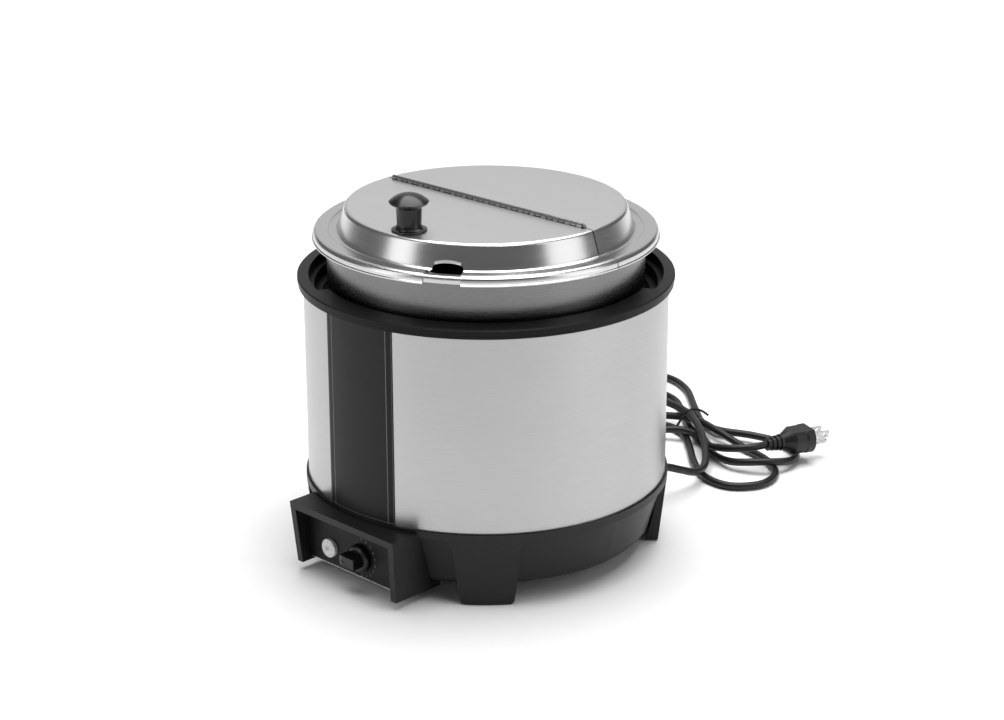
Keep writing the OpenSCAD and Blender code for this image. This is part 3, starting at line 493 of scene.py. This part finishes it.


# the mains lead: points, listed in millimetres, from the sleeve to the plug
lead = {
    "diameter": 0.007, "sides": 20, "steps": 14, "length": 1.89,
    "route": [
        (57, 156, 30), (61, 167, 29), (65, 182, 23), (64, 202, 15), (55, 225, 12), (36, 249, 14),
        (10, 273, 19), (-28, 299, 20), (-64, 307, 20), (-100, 308, 18), (-132, 310, 16), (-163, 325, 6),
        (-174, 350, 4), (-164, 378, 4), (-134, 392, 4), (-100, 380, 4), (-64, 350, 4), (-28, 321, 4),
        (2, 312, 7), (32, 321, 8), (62, 330, 6), (88, 318, 5), (99, 293, 9), (87, 268, 12),
        (60, 257, 8), (28, 268, 4), (0, 284, 4), (-31, 305, 4), (-60, 328, 4), (-88, 349, 4),
        (-118, 353, 4), (-141, 335, 4), (-141, 306, 4), (-117, 287, 4), (-86, 289, 6), (-58, 299, 10),
        (-27, 307, 12), (8, 302, 10), (42, 298, 5), (76, 290, 4), (102, 270, 4), (108, 242, 4),
        (90, 219, 4), (60, 220, 4), (30, 240, 4), (2, 266, 4), (-26, 288, 4), (-56, 290, 4),
        (-84, 274, 4), (-106, 250, 4), (-110, 220, 4), (-90, 198, 4), (-62, 204, 4), (-50, 230, 5),
        (-44, 258, 8), (-22, 278, 11), (4, 279, 11), (26, 266, 12), (44, 258, 17), (60, 260, 20),
        (73, 269, 22), (79, 285, 22),
    ],
}


def makeLead():
    line = smoothPath(np.array(lead["route"]) / 1000, lead["steps"])
    grid = tubeGrid(line, lead["diameter"] / 2, lead["sides"])
    piece = makePiece("lead", gridMesh("lead", grid), finishes["cord_black"])
    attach(piece, "root")
    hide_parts("power_cord")
    return piece, line


# generic numbers round the thermostat, each drawn with straight strokes in a box 1 wide and 2 high
dialPrint = {
    "centre": (0.0085, 0.0283), "radius": 0.0163, "step": 20.0, "numbers": range(1, 11),
    "high": 0.0022, "wide": 0.0011, "stroke": 0.00032, "proud": 0.00006,
    "strokes": {
        "0": [(0, 0), (1, 0), (1, 2), (0, 2), (0, 0)],
        "1": [(0.2, 1.5), (0.6, 2), (0.6, 0)],
        "2": [(0, 2), (1, 2), (1, 1), (0, 0), (1, 0)],
        "3": [(0, 2), (1, 2), (0.4, 1.1), (1, 1), (1, 0), (0, 0)],
        "4": [(0.8, 0), (0.8, 2), (0, 0.7), (1, 0.7)],
        "5": [(1, 2), (0, 2), (0, 1.1), (1, 1.1), (1, 0), (0, 0)],
        "6": [(1, 2), (0, 1), (0, 0), (1, 0), (1, 1), (0, 1)],
        "7": [(0, 2), (1, 2), (0.3, 0)],
        "8": [(0, 0), (1, 0), (1, 2), (0, 2), (0, 0), (0, 1), (1, 1)],
        "9": [(0, 0), (1, 1), (1, 2), (0, 2), (0, 1), (1, 1)],
    },
    "offDash": [(-0.0185, 0.0), (-0.0148, 0.0)],
}


def strokeBar(start, end, half, face, proud):
    # a flat bar from start to end on the panel's face, a little longer at both ends
    start, end = np.array(start, float), np.array(end, float)
    along = (end - start) / np.linalg.norm(end - start) * half
    across = np.array([-along[1], along[0]])
    flat = [start - along - across, end + along - across, end + along + across, start - along + across]
    points = np.array([(x, face - depth, z) for depth in (-proud, proud) for x, z in flat])
    sides = [[i, (i + 1) % 4, (i + 1) % 4 + 4, i + 4] for i in range(4)]
    return [points, sides + [[3, 2, 1, 0], [4, 5, 6, 7]]]


def makeDialPrint():
    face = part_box("control_panel")[0].y
    middle = np.array(dialPrint["centre"])
    half, proud = dialPrint["stroke"] / 2, dialPrint["proud"]
    size = np.array([dialPrint["wide"], dialPrint["high"] / 2])
    bars = []
    for count, number in enumerate(dialPrint["numbers"]):
        around = math.radians(count * dialPrint["step"])
        digits = str(number)
        for place, digit in enumerate(digits):
            shift = (place - (len(digits) - 1) / 2) * 1.5 - 0.5
            corner = middle + dialPrint["radius"] * np.array([math.sin(around), math.cos(around)])
            line = [corner + size * (np.array(p) + (shift, -1)) for p in dialPrint["strokes"][digit]]
            bars += [strokeBar(a, b, half, face, proud) for a, b in zip(line, line[1:])]
    dash = [middle + np.array(p) for p in dialPrint["offDash"]]
    bars.append(strokeBar(dash[0], dash[1], half * 1.3, face, proud))
    piece = makePiece("dialNumbers", joined(bars), printFinish, smooth=False)
    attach(piece, "root")


makeDialPrint()
print("dial numbered")

cord, cordLine = makeLead()
print("lead laid:", round(float(np.linalg.norm(np.diff(cordLine, axis=0), axis=1).sum()), 3), "m")

# the wire tie: a flat band pulled tight round the strands, and its two twisted ends
tie = {
    "at": (-0.028, 0.299), "turn": 67.0, "reach": (-0.016, 0.014), "band": 0.0034, "thick": 0.0006,
    "twistLong": 0.024, "twistWide": 0.0007, "twistPitch": 0.0045, "wire": 0.0006,
    "tailAt": 60.0, "tailWay": (0.72, 0.25), "tailRise": 0.3, "tailDroop": -0.42,
    "slack": 0.0001, "loopPoints": 120, "tailPoints": 60, "wireSides": 10,
}


def makeTie():
    turn = math.radians(tie["turn"])
    along = np.array([math.cos(turn), math.sin(turn), 0.0])
    across = np.array([-math.sin(turn), math.cos(turn), 0.0])
    up = np.array([0.0, 0.0, 1.0])
    centre = np.array([*tie["at"], 0.0])
    # strands: where the lead crosses the band's plane, found on each span that changes side
    u, v = (cordLine - centre) @ along, (cordLine - centre) @ across
    cross = np.nonzero((v[:-1] * v[1:] <= 0) & (u[:-1] > tie["reach"][0]) & (u[:-1] < tie["reach"][1]))[0]
    share = v[cross] / (v[cross] - v[cross + 1])
    strands = np.stack([u[cross] + share * (u[cross + 1] - u[cross]),
                        cordLine[cross, 2] + share * (cordLine[cross + 1, 2] - cordLine[cross, 2])], -1)
    # band outline: in direction d the farthest strand centre plus (radius + slack) d
    angle = np.linspace(0, 2 * np.pi, tie["loopPoints"], endpoint=False)
    way = np.stack([np.cos(angle), np.sin(angle)], -1)
    pick = strands[np.argmax(strands @ way.T, axis=0)]
    radius = lead["diameter"] / 2
    near, far, half = tie["slack"], tie["slack"] + tie["thick"], tie["band"] / 2

    def loop(out, side):
        flat = pick + (radius + out) * way
        flat[:, 1] = np.maximum(flat[:, 1], far - out)
        return centre + flat[:, :1] * along + flat[:, 1:] * up + side * across

    rings = [loop(near, -half), loop(near, half), loop(far, half), loop(far, -half), loop(near, -half)]
    band = gridMesh("band", np.stack(rings), caps=False)
    # tail: two wires on a helix round the line t * (way, rise) + t^2 * droop
    start = loop(far, 0.0)[int(tie["tailAt"] / 360 * tie["loopPoints"])]
    way = np.array([*tie["tailWay"], tie["tailRise"]])
    t = np.linspace(0, 1, tie["tailPoints"])[:, None]
    middle = start + tie["twistLong"] * (t * way + t ** 2 * (0, 0, tie["tailDroop"]))
    side, rise = pathFrames(middle)[1:]
    spin = 2 * np.pi * tie["twistLong"] / tie["twistPitch"] * t
    wires = [gridMesh("wire", tubeGrid(middle + tie["twistWide"] * (np.cos(spin + p) * side
                                                                    + np.sin(spin + p) * rise),
                                       tie["wire"], tie["wireSides"])) for p in (0, np.pi)]
    piece = makePiece("leadTie", joined([band] + wires), finishes["cord_black"])
    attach(piece, "root")
    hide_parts("cord_tie")


makeTie()
print("tie wound")


# studio light: a wide soft box overhead, one behind for the lid, and a tall one to each side
studio = {
    "world": 0.14,
    "lights": {
        "overhead": {"around": 200, "out": 0.3, "high": 2.4, "size": (2.4, 2.4), "glow": 5.2},
        "behind": {"around": 225, "out": 2.6, "high": 1.25, "size": (3.4, 2.0), "glow": 0.5},
        "leftBox": {"around": -22, "out": 1.7, "high": 0.75, "size": (0.7, 1.3), "glow": 1.5},
        "rightBox": {"around": 108, "out": 1.7, "high": 0.8, "size": (1.0, 1.4), "glow": 1.4},
    },
    "aim": (0, 0, 0.2),
}


def makeStudio():
    world = bpy.data.worlds.new("studio")
    bpy.context.scene.world = world
    bpy.context.scene.view_settings.view_transform = "Standard"
    world.use_nodes = True
    world.node_tree.nodes["Background"].inputs["Color"].default_value = grey(1.0)
    world.node_tree.nodes["Background"].inputs["Strength"].default_value = studio["world"]
    for name, box in studio["lights"].items():
        light = bpy.data.lights.new(name, "AREA")
        light.shape = "RECTANGLE"
        light.size, light.size_y = box["size"]
        light.energy = box["glow"] * math.pi * light.size * light.size_y
        lamp = bpy.data.objects.new(name, light)
        around = math.radians(box["around"])
        lamp.location = (box["out"] * math.sin(around), -box["out"] * math.cos(around), box["high"])
        away = lamp.location - Vector(studio["aim"])
        lamp.rotation_euler = away.to_track_quat("Z", "Y").to_euler()
        bpy.context.collection.objects.link(lamp)
    size = floorLook["size"]
    corners = np.array([(-size, -size, 0), (size, -size, 0), (size, size, 0), (-size, size, 0)])
    floor = makePiece("floor", [corners, [[0, 1, 2, 3]]], paleFloor(), smooth=False)


makeStudio()
print("studio lit")
